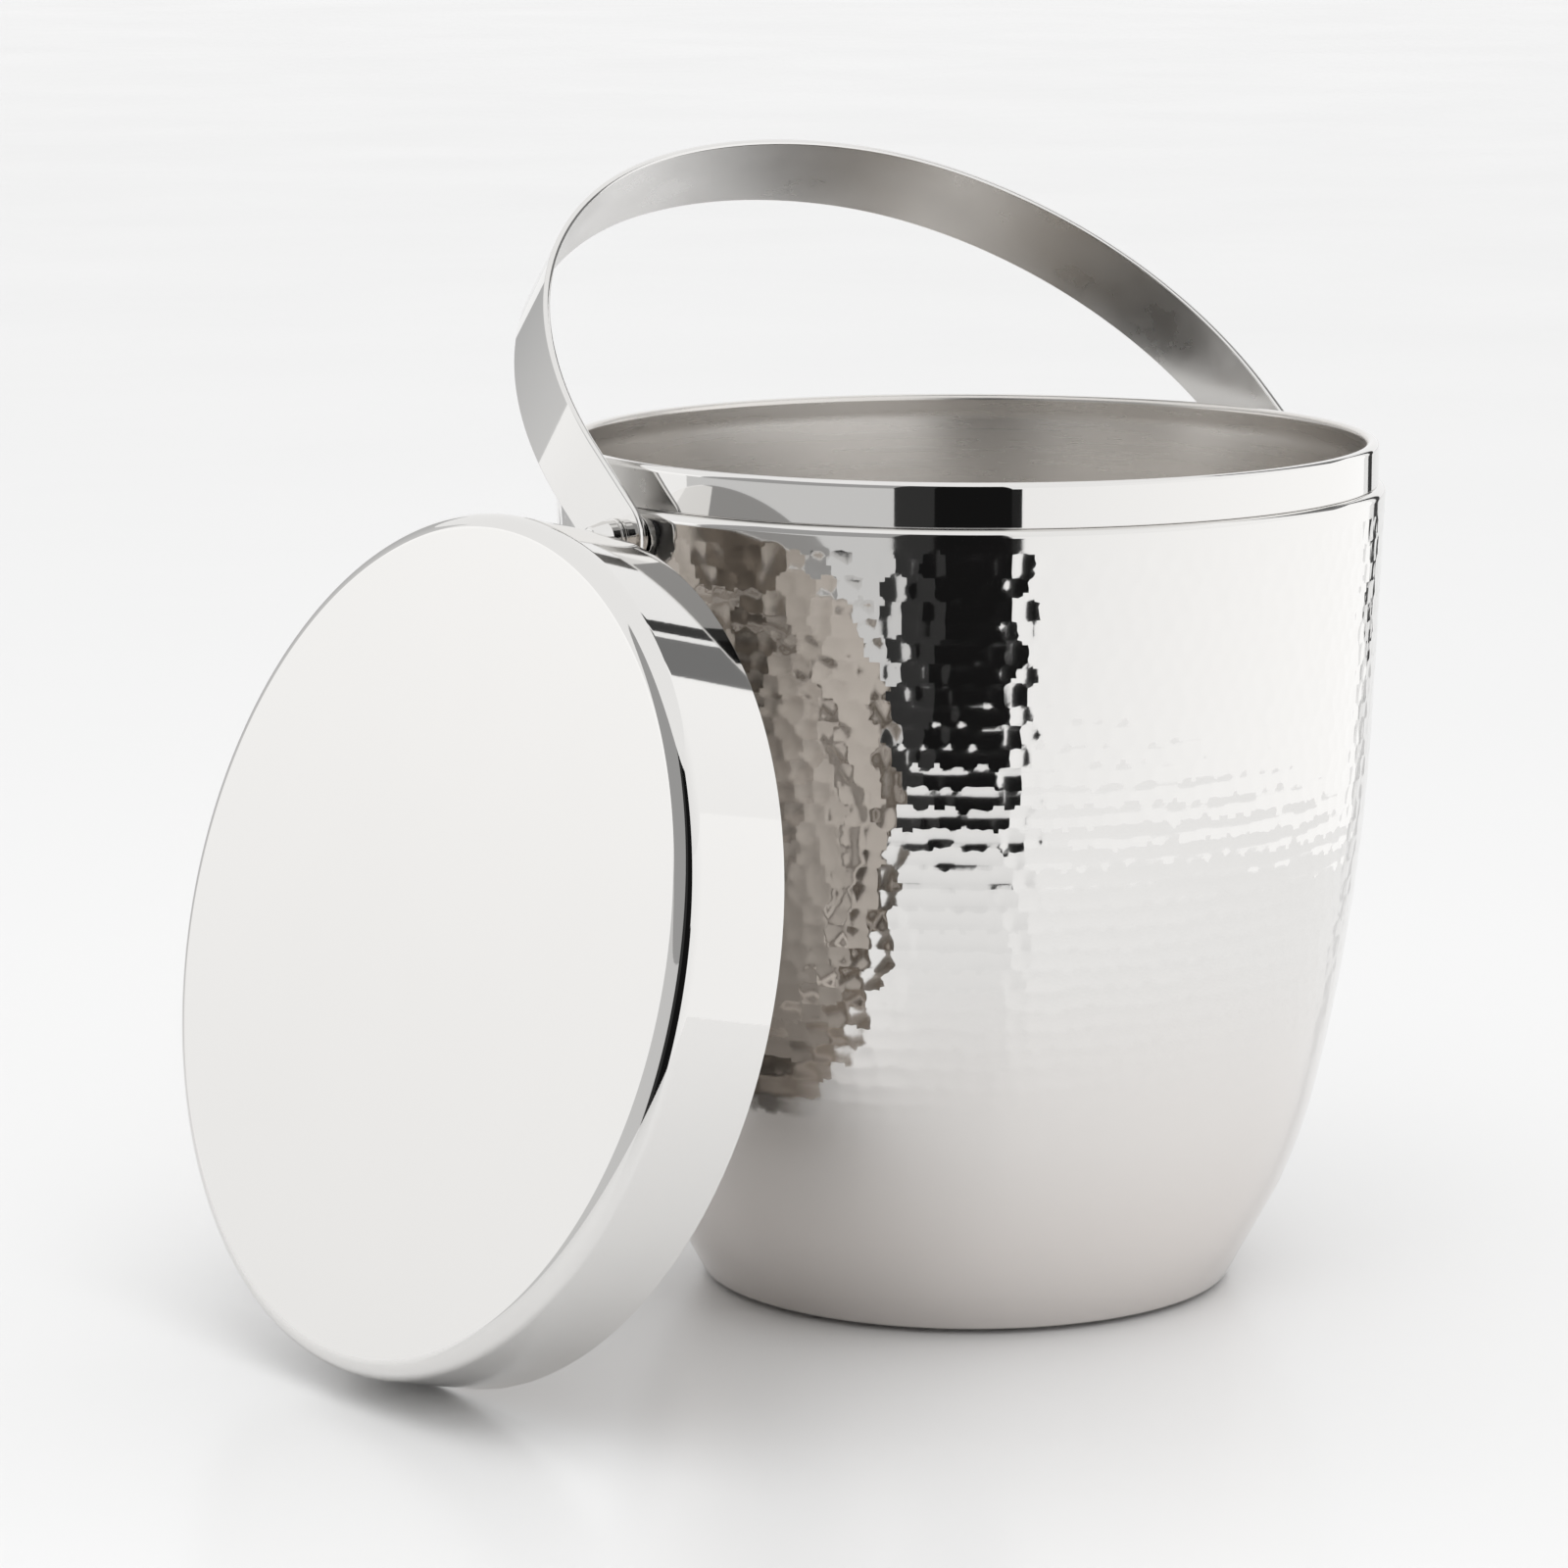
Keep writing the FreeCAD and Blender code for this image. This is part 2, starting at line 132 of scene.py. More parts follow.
class HammerMarks(PropertyGroup):
    """The rows of hammer strikes on the wall."""

    row_pitch: length_of("Row pitch", "Distance between rows of strikes", 4.9)
    strike_pitch: length_of("Strike pitch", "Distance between strikes along a row", 5.4)
    strike_radius: length_of("Strike radius", "Radius of one strike's rim", 3.3)
    hammer_radius: length_of("Hammer crown", "Radius of the hammer's crowned face", 31.0)
    plain_band: length_of("Plain band", "Smooth band between the shoulder and the first row", 4.0)
    row_wander: length_of("Row wander", "How far a strike strays from its row", 0.32)
    strike_wander: length_of("Strike wander", "How far a strike strays along its row", 0.62)
    size_spread: length_of("Size spread", "How much strikes differ in radius", 0.2)
    full_height: length_of("Full height", "Above this height strikes have their full depth", 105.0)
    faint_height: length_of("Faint height", "Below this height strikes are faint", 44.0)
    lowest_height: length_of("Lowest height", "Height of the lowest strikes", 34.0)
    faintest: share_of("Faintest", "Depth of the lowest strikes, as a share of the full depth", 0.10)
    softness: share_of("Softness", "How much the ridges between strikes are rounded", 0.6)
    columns: count_of("Columns", "Mesh columns round the wall", 500)
    rows: count_of("Rows", "Mesh rows up the hammered wall", 150)


class LinerSizes(PropertyGroup):
    """The smooth collar, the rolled rim and the bowl."""

    gauge: length_of("Gauge", "Thickness of the liner", 0.8)
    collar_radius: length_of("Collar", "Outer radius of the collar", 100.0)
    collar_height: length_of("Collar height", "Height of the collar above the shoulder", 10.6)
    rim_radius: length_of("Rim", "Radius of the rolled rim", 1.55)
    neck_drop: length_of("Neck drop", "Straight drop inside the rim", 3.0)
    neck_radius: length_of("Neck curve", "Curve under the neck", 30.0)
    lean: turn_of("Lean", "How far the bowl's wall leans in", 4.2)
    straight: length_of("Straight", "Straight stretch of the bowl's wall", 66.0)
    upper_radius: length_of("Upper curve", "Radius of the bowl's upper curve", 430.0)
    upper_turn: turn_of("Upper turn", "How far the upper curve turns", 9.0)
    lower_radius: length_of("Lower curve", "Radius of the bowl's lower curve", 150.0)
    lower_turn: turn_of("Lower turn", "How far the lower curve turns", 17.0)
    corner_radius: length_of("Corner", "Radius between the bowl's wall and its floor", 26.0)
    columns: count_of("Columns", "Mesh columns round the liner", 256)


class BaseSizes(PropertyGroup):
    """The pad under the bucket."""

    pad_radius: length_of("Pad", "Radius of the pad", 60.0)
    pad_thickness: length_of("Pad thickness", "Thickness of the pad", 1.0)
    groove_pitch: length_of("Groove pitch", "Distance between the pad's grooves", 6.0)
    groove_width: length_of("Groove width", "Width of a groove", 2.0)
    groove_depth: length_of("Groove depth", "Depth of a groove", 0.3)
    rounding: length_of("Rounding", "Rounding of the pad's edges", 0.12)
    columns: count_of("Columns", "Mesh columns round the pad", 128)


class HandleSizes(PropertyGroup):
    """The bent steel strap."""

    half_span: length_of("Half span", "From the middle of the bucket to the middle of the strap", 106.6)
    width: length_of("Width", "Width of the strap", 20.0)
    thickness: length_of("Thickness", "Thickness of the strap", 1.8)
    leg: length_of("Leg", "Straight stretch above each pivot", 20.2)
    bend_radius: length_of("Side bend", "Radius of the side bends", 99.0)
    bend_turn: turn_of("Side turn", "How far each side bend turns", 76.5)
    rounding: length_of("Rounding", "Rounding of the strap's edges", 0.4)
    lean: turn_of("Lean", "How far the handle leans back", 50.2)


class PivotSizes(PropertyGroup):
    """What is threaded on each pivot bolt, by distance from the middle of the bucket."""

    height: length_of("Height", "Height of the pivots", 193.0)
    bore: length_of("Bore", "Radius of the hole through each piece", 3.1)
    boss_radius: length_of("Boss", "Radius of the boss", 5.4)
    boss_start: length_of("Boss face", "Inner face of the boss", 101.8)
    boss_end: length_of("Boss end", "Outer face of the boss", 103.7)
    washer_radius: length_of("Friction washer", "Radius of the friction washer", 5.2)
    washer_end: length_of("Washer end", "Outer face of the friction washer", 105.6)
    outer_radius: length_of("Outer washer", "Radius of the outer washer", 4.5)
    outer_start: length_of("Outer start", "Inner face of the outer washer", 107.6)
    nut_start: length_of("Nut seat", "Inner face of the cap nut", 108.4)
    nut_shoulder: length_of("Nut shoulder", "Where the cap nut starts to taper", 110.7)
    nut_end: length_of("Nut end", "Tip of the cap nut", 115.2)
    nut_radius: length_of("Nut", "Radius of the cap nut", 4.1)
    nut_tip: length_of("Nut tip", "Radius of the cap nut's tip", 2.9)
    tip_rounding: length_of("Tip rounding", "Rounding of the cap nut's tip", 0.8)
    rounding: length_of("Rounding", "Rounding of the small pieces' edges", 0.18)
    columns: count_of("Columns", "Mesh columns round each piece", 64)


class LidSizes(PropertyGroup):
    """The pressed cap and the pan inside it, and how the lid stands."""

    gauge: length_of("Gauge", "Thickness of the lid's sheet", 0.6)
    radius: length_of("Radius", "Outer radius of the cap", 100.8)
    depth: length_of("Depth", "Height of the cap's skirt", 27.8)
    edge_radius: length_of("Edge", "Bend between face and skirt", 4.6)
    pan_rise: length_of("Pan rise", "From the open edge to the pan's raised middle", 16.0)
    raised_radius: length_of("Raised middle", "Radius of the pan's raised middle", 70.0)
    step_radius: length_of("Step bend", "Bends of the pan's step", 4.0)
    step_turn: turn_of("Step turn", "Slope of the pan's step", 45.0)
    step_run: length_of("Step run", "Straight part of the pan's step", 1.6)
    pan_corner: length_of("Pan corner", "Bend down to the pan's flange", 3.0)
    pan_flange: length_of("Pan flange", "Height of the pan's flange", 4.0)
    tilt: turn_of("Tilt", "How far the lid leans from upright", 14.48)
    stand_off: length_of("Stand off", "From the bucket's axis to the middle of the lid's face", 167.8)
    offset: length_of("Offset", "How far the lid stands to the front", 4.1)
    columns: count_of("Columns", "Mesh columns round the lid", 320)


class Finishes(PropertyGroup):
    """The colours and the polish of the metal and the rubber."""

    steel: colour_of("Steel", "Colour of polished steel", (0.80, 0.79, 0.775))
    # Painted reflection: the wall near the foot takes this warmer, slightly darker colour in place of the
    # floor it mirrors.
    painted_floor_reflection: colour_of("Warm steel", "Colour of the wall near the foot", (0.79, 0.755, 0.73))
    satin: colour_of("Satin steel", "Colour of satin steel", (0.74, 0.715, 0.685))
    pan: colour_of("Pan steel", "Colour of the pressed pan inside the lid", (0.60, 0.55, 0.50))
    mill: colour_of("Plain steel", "Colour of plain steel", (0.55, 0.54, 0.53))
    washer: colour_of("Washer", "Colour of the friction washers", (0.012, 0.012, 0.013))
    rubber: colour_of("Rubber", "Colour of the pad", (0.022, 0.022, 0.023))
    mirror: share_of("Mirror", "Roughness of the mirror polish", 0.035)
    wall: share_of("Wall", "Roughness of the hammered wall's polish", 0.06)
    foot: share_of("Foot", "Roughness of the wall near the foot", 0.15)
    brushed: share_of("Brushed", "Roughness of the satin steel", 0.23)


class StudioSettings(PropertyGroup):
    """The camera, the floor, the lights and the cards that the steel reflects."""

    azimuth: turn_of("Azimuth", "Where the camera stands round the bucket", -39.44)
    distance: length_of("Distance", "From the bucket's axis to the camera, along the floor", 1368.6)
    height: length_of("Height", "Height of the camera", 361.7)
    pan: turn_of("Pan", "How far the camera looks to the left of the axis", 1.911)
    tilt: turn_of("Tilt", "How far the camera looks down", 9.905)
    lens: FloatProperty(name="Lens", description="Focal length", default=128.43, unit="CAMERA")
    card_distance: length_of("Card distance", "From the bucket's axis to the cards", 520.0)
    sky: share_of("Sky", "Brightness of the studio's walls", 0.98)
    floor: colour_of("Floor", "Colour of the floor", (0.84, 0.84, 0.84))
    key: FloatProperty(name="Key light", description="Power of the key light", default=6.0, unit="POWER")


class BucketSettings(PropertyGroup):
    """Everything a user would change."""

    wall: PointerProperty(type=WallSizes, name="Wall", description="Sizes of the hammered wall")
    hammer: PointerProperty(type=HammerMarks, name="Hammer marks", description="Rows of strikes")
    liner: PointerProperty(type=LinerSizes, name="Liner", description="Sizes of the collar and bowl")
    base: PointerProperty(type=BaseSizes, name="Base", description="Sizes of the pad")
    handle: PointerProperty(type=HandleSizes, name="Handle", description="Sizes of the strap")
    pivot: PointerProperty(type=PivotSizes, name="Pivots", description="Sizes of the small pieces")
    lid: PointerProperty(type=LidSizes, name="Lid", description="Sizes and stance of the lid")
    finish: PointerProperty(type=Finishes, name="Finishes", description="Colours and polish")
    studio: PointerProperty(type=StudioSettings, name="Studio", description="Camera, floor and light")


# ---- outlines

class Outline:
    """A flat line of straight runs and tangent bends, with its place and heading at any length."""

    def __init__(self, across, up, heading=0.0):
        self.end = np.array([across, up], float)
        self.heading = math.radians(heading)
        self.starts, self.places, self.headings, self.curvatures = [], [], [], []
        self.length = 0.0

    def extend(self, length, curvature):
        self.starts.append(self.length)
        self.places.append(self.end)
        self.headings.append(self.heading)
        self.curvatures.append(curvature)
        self.length += length
        places, headings = self.at([self.length])
        self.end, self.heading = places[0], headings[0]
        return self

    def run(self, length):
        return self.extend(length, 0.0)

    def bend(self, radius, turn):
        """Turn by an angle in radians, to the left if it is positive."""
        return self.extend(radius * abs(turn), math.copysign(1 / radius, turn))

    def at(self, along):
        along = np.asarray(along, float)
        part = np.clip(np.searchsorted(self.starts, along, "right") - 1, 0, len(self.starts) - 1)
        beyond = along - np.array(self.starts)[part]
        turn = beyond * np.array(self.curvatures)[part]
        chord = beyond * np.sinc(turn / (2 * math.pi))
        middle = np.array(self.headings)[part] + turn / 2
        steps = chord[:, None] * np.stack([np.cos(middle), np.sin(middle)], 1)
        return np.array(self.places)[part] + steps, middle + turn / 2

    def marks(self, step=BEND_STEP, longest=LONGEST):
        """Lengths to sample: every few degrees round a bend, and no further apart than the longest."""
        found = [0.0]
        stops = self.starts[1:] + [self.length]
        for start, stop, curvature in zip(self.starts, stops, self.curvatures):
            stretch = stop - start
            turned = abs(curvature) * stretch
            count = max(1, math.ceil(turned / step), math.ceil(stretch / longest))
            found += list(start + stretch * np.arange(1, count + 1) / count)
        return np.array(found)


def to_the_right(headings):
    return np.stack([np.sin(headings), -np.cos(headings)], 1)


def joined(parts):
    """One ring of places and one of normals, across a sheet or a solid, for turning about an axis."""
    return [np.concatenate(kind) for kind in zip(*parts)]


def rolled_edge(middle, towards, ahead, radius):
    """The half round at a sheet's cut edge, from its face side over to its back."""
    angles = np.linspace(0, math.pi, 2 * EDGE_STEPS + 1)[1:-1]
    normals = np.cos(angles)[:, None] * towards + np.sin(angles)[:, None] * ahead
    return middle + normals * radius, normals


def sheet_section(outline, gauge, face_marks=None, back_marks=None):
    """Section of pressed sheet: its face, to the right of the outline, its back, and a rolled edge at
    each end that isn't on the axis."""
    half = gauge / 2
    ends_on_axis = outline.end[0] < half
    low, high = half, outline.length - (0.0 if ends_on_axis else half)
    face_marks = outline.marks() if face_marks is None else face_marks
    back_marks = outline.marks() if back_marks is None else back_marks
    places, headings = outline.at(np.unique(np.clip(face_marks, low, high)))
    normals = to_the_right(headings)
    parts = [(places, normals)]
    if not ends_on_axis:
        ahead = np.array([math.cos(headings[-1]), math.sin(headings[-1])])
        parts.append(rolled_edge(places[-1] - normals[-1] * half, normals[-1], ahead, half))
    back_places, back_headings = outline.at(np.unique(np.clip(back_marks, low, high))[::-1])
    back_normals = to_the_right(back_headings)
    parts.append((back_places - back_normals * gauge, -back_normals))
    behind = -np.array([math.cos(headings[0]), math.sin(headings[0])])
    parts.append(rolled_edge(places[0] - normals[0] * half, -normals[0], behind, half))
    return joined(parts)


def turned_section(corners, rounding):
    """Section of a solid turned piece. Corners are (radius, along the axis[, rounding]), anticlockwise."""
    count = len(corners)
    points = [np.array(corner[:2], float) for corner in corners]
    parts = []
    for i, corner in enumerate(corners):
        before, here, after = points[i - 1], points[i], points[(i + 1) % count]
        arriving = (here - before) / np.linalg.norm(here - before)
        leaving = (after - here) / np.linalg.norm(after - here)
        cross = arriving[0] * leaving[1] - arriving[1] * leaving[0]
        turn = math.atan2(cross, float(arriving @ leaving))
        radius = corner[2] if len(corner) > 2 else rounding
        heading = math.atan2(arriving[1], arriving[0])
        if here[0] < rounding:
            normals = to_the_right(np.array([heading, heading + turn]))
            parts.append((np.array([here, here]), normals))
            continue
        bend = Outline(*(here - arriving * radius * math.tan(abs(turn) / 2)), math.degrees(heading))
        bend.bend(radius, turn)
        places, headings = bend.at(np.linspace(0, bend.length, EDGE_STEPS + 1))
        parts.append((places, to_the_right(headings)))
    return joined(parts)


# ---- meshes

def grid_piece(name, places, normals, close_rows, finish, body, slot, replaced, matrix=None,
               creased=None, inner=None):
    """A smooth closed mesh from rows and columns of places, whose columns close on themselves. Places
    that fall together, as at a pole or a tip, are welded. Creased is a first row and corner normals,
    and inner is a column of faces and the finish that it has of its own."""
    rows, columns = places.shape[:2]
    flat = places.reshape(-1, 3)
    _, first, welded = np.unique(np.round(flat, 8), axis=0, return_index=True, return_inverse=True)
    welded = welded.reshape(rows, columns)
    last = rows if close_rows else rows - 1
    index = np.arange(last)
    here, above = welded[index], welded[(index + 1) % rows]
    quads = np.stack([here, np.roll(here, -1, 1), np.roll(above, -1, 1), above], -1).reshape(-1, 4)
    faces = [list(dict.fromkeys(quad)) for quad in quads.tolist()]
    kept = [number for number, face in enumerate(faces) if len(face) > 2]
    mesh = bpy.data.meshes.new(name)
    mesh.from_pydata(flat[first].tolist(), [], [faces[number] for number in kept])
    mesh.polygons.foreach_set("use_smooth", [True] * len(mesh.polygons))
    if creased is None:
        mesh.normals_split_custom_set_from_vertices(normals.reshape(-1, 3)[first].tolist())
    else:
        row, corners = creased
        above, beside = np.roll(normals, -1, 0), np.roll(normals, -1, 1)
        smooth = np.stack([normals, beside, np.roll(above, -1, 1), above], 2)[:last]
        smooth[row:row + len(corners)] = corners
        mesh.normals_split_custom_set(smooth.reshape(-1, 3).tolist())
    if matrix is not None:
        mesh.transform(matrix)
    mesh.update()
    mesh.materials.append(finish)
    if inner is not None:
        column, inner_finish = inner
        mesh.materials.append(inner_finish)
        on_column = np.array(kept) % columns == column
        mesh.polygons.foreach_set("material_index", on_column.astype(int))
    piece = bpy.data.objects.new(name, mesh)
    bpy.context.scene.collection.objects.link(piece)
    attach(piece, body)
    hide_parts(*replaced)
    return piece


def turned_grid(places, normals, columns):
    """Rows round the Z axis from a section."""
    angles = 2 * math.pi * np.arange(columns) / columns
    outward = np.stack([np.cos(angles), np.sin(angles), np.zeros(columns)], 1)
    upward = np.array([0.0, 0.0, 1.0])
    return (places[:, :1, None] * outward + places[:, 1:, None] * upward,
            normals[:, :1, None] * outward + normals[:, 1:, None] * upward)


def turned_piece(name, section, columns, **words):
    places, normals = turned_grid(*section, columns)
    return grid_piece(name, places, normals, True, **words)


# ---- hammer marks

class Strikes:
    """Every hammer strike on the wall: its length along the outline, its bearing and its radius."""

    def __init__(self, marks, line, top, bottom):
        chance = np.random.default_rng(SEED)
        self.crown = marks.hammer_radius
        alongs, bearings, radii, rings = [], [], [], []
        along, row = top - marks.row_pitch / 2, 0
        while along > bottom:
            ring = float(line.at([along])[0][0][0])
            count = round(2 * math.pi * ring / marks.strike_pitch)
            angles = 2 * math.pi * (np.arange(count) + 0.5 * (row % 2)) / count
            alongs.append(along + chance.normal(0, marks.row_wander, count))
            strayed = angles + chance.normal(0, marks.strike_wander / ring, count)
            bearings.append(strayed % (2 * math.pi))
            radii.append(marks.strike_radius + chance.normal(0, marks.size_spread, count))
            rings.append(np.full(count, ring))
            along, row = along - marks.row_pitch, row + 1
        land = np.zeros(1)
        self.along = np.concatenate([*alongs, land])
        self.bearing = np.concatenate([*bearings, land])
        self.radius = np.concatenate([*radii, land])
        self.ring = np.concatenate([*rings, land + 1])
        self.count = len(self.along) - 1

    def offset(self, strike, along, angle):
        """From a strike's middle to a place, up the wall and round it. The last one is plain land."""
        swing = (angle - self.bearing[strike] + math.pi) % (2 * math.pi) - math.pi
        return along - self.along[strike], swing * self.ring[strike]

    def cut(self, strike, along, angle):
        """How far below the plain wall a strike's surface is, as a negative height."""
        up, round_it = self.offset(strike, along, angle)
        height = (up ** 2 + round_it ** 2 - self.radius[strike] ** 2) / (2 * self.crown)
        return np.where(strike == self.count, 0.0, height)

    def slopes(self, strike, along, angle):
        up, round_it = self.offset(strike, along, angle)
        struck = strike != self.count
        return np.where(struck, up / self.crown, 0.0), np.where(struck, round_it / self.crown, 0.0)

    def deepest(self, along, angles):
        """The deepest and the next deepest strike at each row and column of a regular grid."""
        shape = (len(along), len(angles))
        owner, second = np.full(shape, self.count), np.full(shape, self.count)
        low, next_low = np.zeros(shape), np.zeros(shape)
        pitch = 2 * math.pi / len(angles)
        for strike in range(self.count):
            centre, bearing, radius = self.along[strike], self.bearing[strike], self.radius[strike]
            near = np.arange(*np.searchsorted(along, [centre - radius, centre + radius]))
            reach = radius / self.ring[strike]
            least, most = math.ceil((bearing - reach) / pitch), math.floor((bearing + reach) / pitch)
            picked = np.arange(least, most + 1) % len(angles)
            block = np.ix_(near, picked)
            cut = self.cut(strike, along[near][:, None], angles[picked][None, :])
            deeper, between = cut < low[block], cut < next_low[block]
            runner_up = np.where(between, strike, second[block])
            second[block] = np.where(deeper, owner[block], runner_up)
            next_low[block] = np.where(deeper, low[block], np.where(between, cut, next_low[block]))
            owner[block] = np.where(deeper, strike, owner[block])
            low[block] = np.where(deeper, cut, low[block])
        return owner, second


def on_the_ridges(strikes, along, angle, owner, second, reach):
    """Moves the places that are near a ridge between two strikes, or near a strike's rim, onto it."""
    up, round_it = strikes.offset(owner, along, angle)
    far_up, far_round = strikes.offset(second, along, angle)
    gap_up, gap_round = up - far_up, round_it - far_round
    gap = np.maximum(np.hypot(gap_up, gap_round), TINY)
    away = (strikes.cut(second, along, angle) - strikes.cut(owner, along, angle)) * strikes.crown / gap
    ridge = (owner != strikes.count) & (second != strikes.count) & (away < reach)
    span = np.maximum(np.hypot(up, round_it), TINY)
    outside = strikes.radius[owner] - span
    rim = (owner != strikes.count) & (second == strikes.count) & (outside < reach)
    move_up = np.where(ridge, gap_up / gap * away, 0) + np.where(rim, up / span * outside, 0)
    move_round = np.where(ridge, gap_round / gap * away, 0) + np.where(rim, round_it / span * outside, 0)
    return along + move_up, angle + move_round / strikes.ring[owner]


def hammered_grid(marks, line, strikes, struck):
    """Places, smooth normals and face corner normals of the struck rows, creased along the ridges."""
    even = 2 * math.pi * np.arange(marks.columns) / marks.columns
    owner, second = strikes.deepest(struck, even)
    along, angle = np.broadcast_arrays(struck[:, None], even[None, :])
    reach = RIDGE_REACH * (struck[1] - struck[0])
    along, angle = on_the_ridges(strikes, along, angle, owner, second, reach)
    places, headings = line.at(along.ravel())
    places, headings = places.reshape(*along.shape, 2), headings.reshape(along.shape)
    fading = marks.full_height - marks.faint_height
    grown = np.clip((places[..., 1] - marks.faint_height) / fading, 0, 1)
    share = marks.faintest + (1 - marks.faintest) * grown * grown * (3 - 2 * grown)
    outward = np.stack([np.cos(angle), np.sin(angle), np.zeros(angle.shape)], -1)
    sideways = np.stack([-np.sin(angle), np.cos(angle), np.zeros(angle.shape)], -1)
    upward = np.array([0.0, 0.0, 1.0])
    out, rise = np.sin(headings)[..., None], np.cos(headings)[..., None]
    facing = out * outward - rise * upward
    climbing = rise * outward + out * upward
    lift = strikes.cut(owner, along, angle) * share
    solid_places = places[..., :1] * outward + places[..., 1:] * upward + facing * lift[..., None]

    def quad(values, wrap=0.0):
        beside = np.roll(values, -1, 1)
        if wrap:
            beside[:, -1] += wrap
        return np.stack([values[:-1], beside[:-1], beside[1:], values[1:]], 2)

    along_quad, angle_quad, owner_quad = quad(along), quad(angle, 2 * math.pi), quad(owner)
    middle_along, middle_angle = along_quad.mean(2)[..., None], angle_quad.mean(2)[..., None]
    depths = strikes.cut(owner_quad, middle_along, middle_angle)
    chosen = np.take_along_axis(owner_quad, depths.argmin(2)[..., None], 2)
    chosen = np.broadcast_to(chosen, along_quad.shape)
    slope_up, slope_round = strikes.slopes(chosen, along_quad, angle_quad)
    tilt_up, tilt_round = slope_up * quad(share), slope_round * quad(share)
    corners = quad(facing) - quad(climbing) * tilt_up[..., None] - quad(sideways) * tilt_round[..., None]
    shared = np.zeros(facing.shape)
    for corner, (row, turn) in enumerate(((0, 0), (0, 1), (1, 1), (1, 0))):
        shared[row:row + len(corners)] += np.roll(corners[:, :, corner], turn, 1)
    shared /= np.linalg.norm(shared, axis=2, keepdims=True)
    corners += (quad(shared) - corners) * marks.softness
    corners /= np.linalg.norm(corners, axis=3, keepdims=True)
    return solid_places, facing, corners


# ---- node materials

class Wire:
    """One socket of a material's nodes. Sums and products of wires add the nodes that work them out."""

    def __init__(self, finish, socket):
        self.finish, self.socket = finish, socket

    def __add__(self, other):
        return self.finish.maths("ADD", self, other)

    def __sub__(self, other):
        return self.finish.maths("SUBTRACT", self, other)

    def __rsub__(self, other):
        return self.finish.maths("SUBTRACT", other, self)

    def __mul__(self, other):
        return self.finish.maths("MULTIPLY", self, other)

    __radd__ = __add__
    __rmul__ = __mul__


class Finish:
    """A material in the making, with short words for the nodes it uses."""

    def __init__(self, name):
        self.material = bpy.data.materials.new(name)
        self.material.use_nodes = True
        self.tree = self.material.node_tree
        self.tree.nodes.clear()
        self.place = self.node("ShaderNodeTexCoord", {}, {}, "Object")

    def node(self, kind, settings, inputs, output=0):
        """Add a node: its settings first, then the values or wires of its sockets."""
        made = self.tree.nodes.new(kind)
        for key, value in settings.items():
            setattr(made, key, value)
        for key, value in inputs.items():
            if isinstance(value, Wire):
                self.tree.links.new(value.socket, made.inputs[key])
            else:
                made.inputs[key].default_value = value
        return Wire(self, made.outputs[output]) if made.outputs else None

    def maths(self, operation, first, second):
        return self.node("ShaderNodeMath", {"operation": operation}, {0: first, 1: second})

    def vector_maths(self, operation, *values, output=0):
        sockets = dict(enumerate(values))
        return self.node("ShaderNodeVectorMath", {"operation": operation}, sockets, output)

    def stretched(self, scale):
        return self.vector_maths("MULTIPLY", self.place, scale)

    def noise(self, scale, detail=3.0, place=None):
        sockets = {"Vector": place or self.place, "Scale": scale, "Detail": detail}
        return self.node("ShaderNodeTexNoise", {}, sockets)

    def between(self, value, low, high, to_low=0.0, to_high=1.0):
        """The value carried from one range to another, and held at its ends."""
        return self.node("ShaderNodeMapRange", {}, {"Value": value, "From Min": low, "From Max": high,
                                                    "To Min": to_low, "To Max": to_high})

    def blend(self, share, first, second):
        return self.node("ShaderNodeMix", {"data_type": "RGBA"}, {0: share, 6: first, 7: second}, 2)

    def shaded(self, share, colour, darkest):
        """The colour, and a darker shade of it where the share is low."""
        return self.blend(share, solid([part * darkest for part in colour]), solid(colour))

    def height(self):
        return self.node("ShaderNodeSeparateXYZ", {}, {0: self.place}, 2)

    def radius(self):
        """Distance from the Z axis."""
        return self.vector_maths("LENGTH", self.stretched((1, 1, 0)), output="Value")

    def bump(self, height, strength, distance):
        sockets = {"Height": height, "Strength": strength, "Distance": distance}
        return self.node("ShaderNodeBump", {}, sockets)

    def surface(self, **sockets):
        """End in a Principled surface. Its sockets are named with underlines for spaces."""
        named = {key.replace("_", " "): value for key, value in sockets.items()}
        shader = self.node("ShaderNodeBsdfPrincipled", {}, named)
        self.node("ShaderNodeOutputMaterial", {}, {"Surface": shader})
        return self.material


def solid(colour):
    return (*colour, 1.0)


def mirror_finish(name, colour, roughness):
    """Mirror polish with the faint haze of wiping and hair-fine polishing lines."""
    steel = Finish(name)
    haze = steel.noise(16.0, 5.0)
    lines = steel.noise(260.0, 2.0, steel.stretched((1.0, 1.0, 9.0)))
    tint = steel.shaded(haze, colour, 0.975)
    rough = steel.between(haze, 0.35, 0.75, roughness * 0.7, roughness * 1.5)
    rough = rough + lines * (roughness * 0.35)
    return steel.surface(Base_Color=tint, Metallic=1.0, Roughness=rough,
                         Normal=steel.bump(lines, 0.05, 0.00003))


def hammered_finish(finish):
    """Polish over the hammer marks, softer towards the foot, where the steel is tinted warmer and a little
    darker as a painted reflection of the floor.
    """
    steel = Finish("hammered_wall")
    haze = steel.noise(14.0, 5.0)
    grain = steel.noise(700.0, 2.0)
    low = steel.between(steel.height() + haze * 0.02, 0.105, 0.035)
    # Painted reflection of the floor: the steel blends to a warmer, darker colour towards the foot.
    tint = steel.blend(low, solid(finish.steel), solid(finish.painted_floor_reflection))
    rough = steel.between(haze, 0.3, 0.75, finish.wall * 0.8, finish.wall * 1.35)
    rough = rough + low * (finish.foot - finish.wall)
    return steel.surface(Base_Color=tint, Metallic=1.0, Roughness=rough,
                         Normal=steel.bump(grain, 0.06, 0.00004))


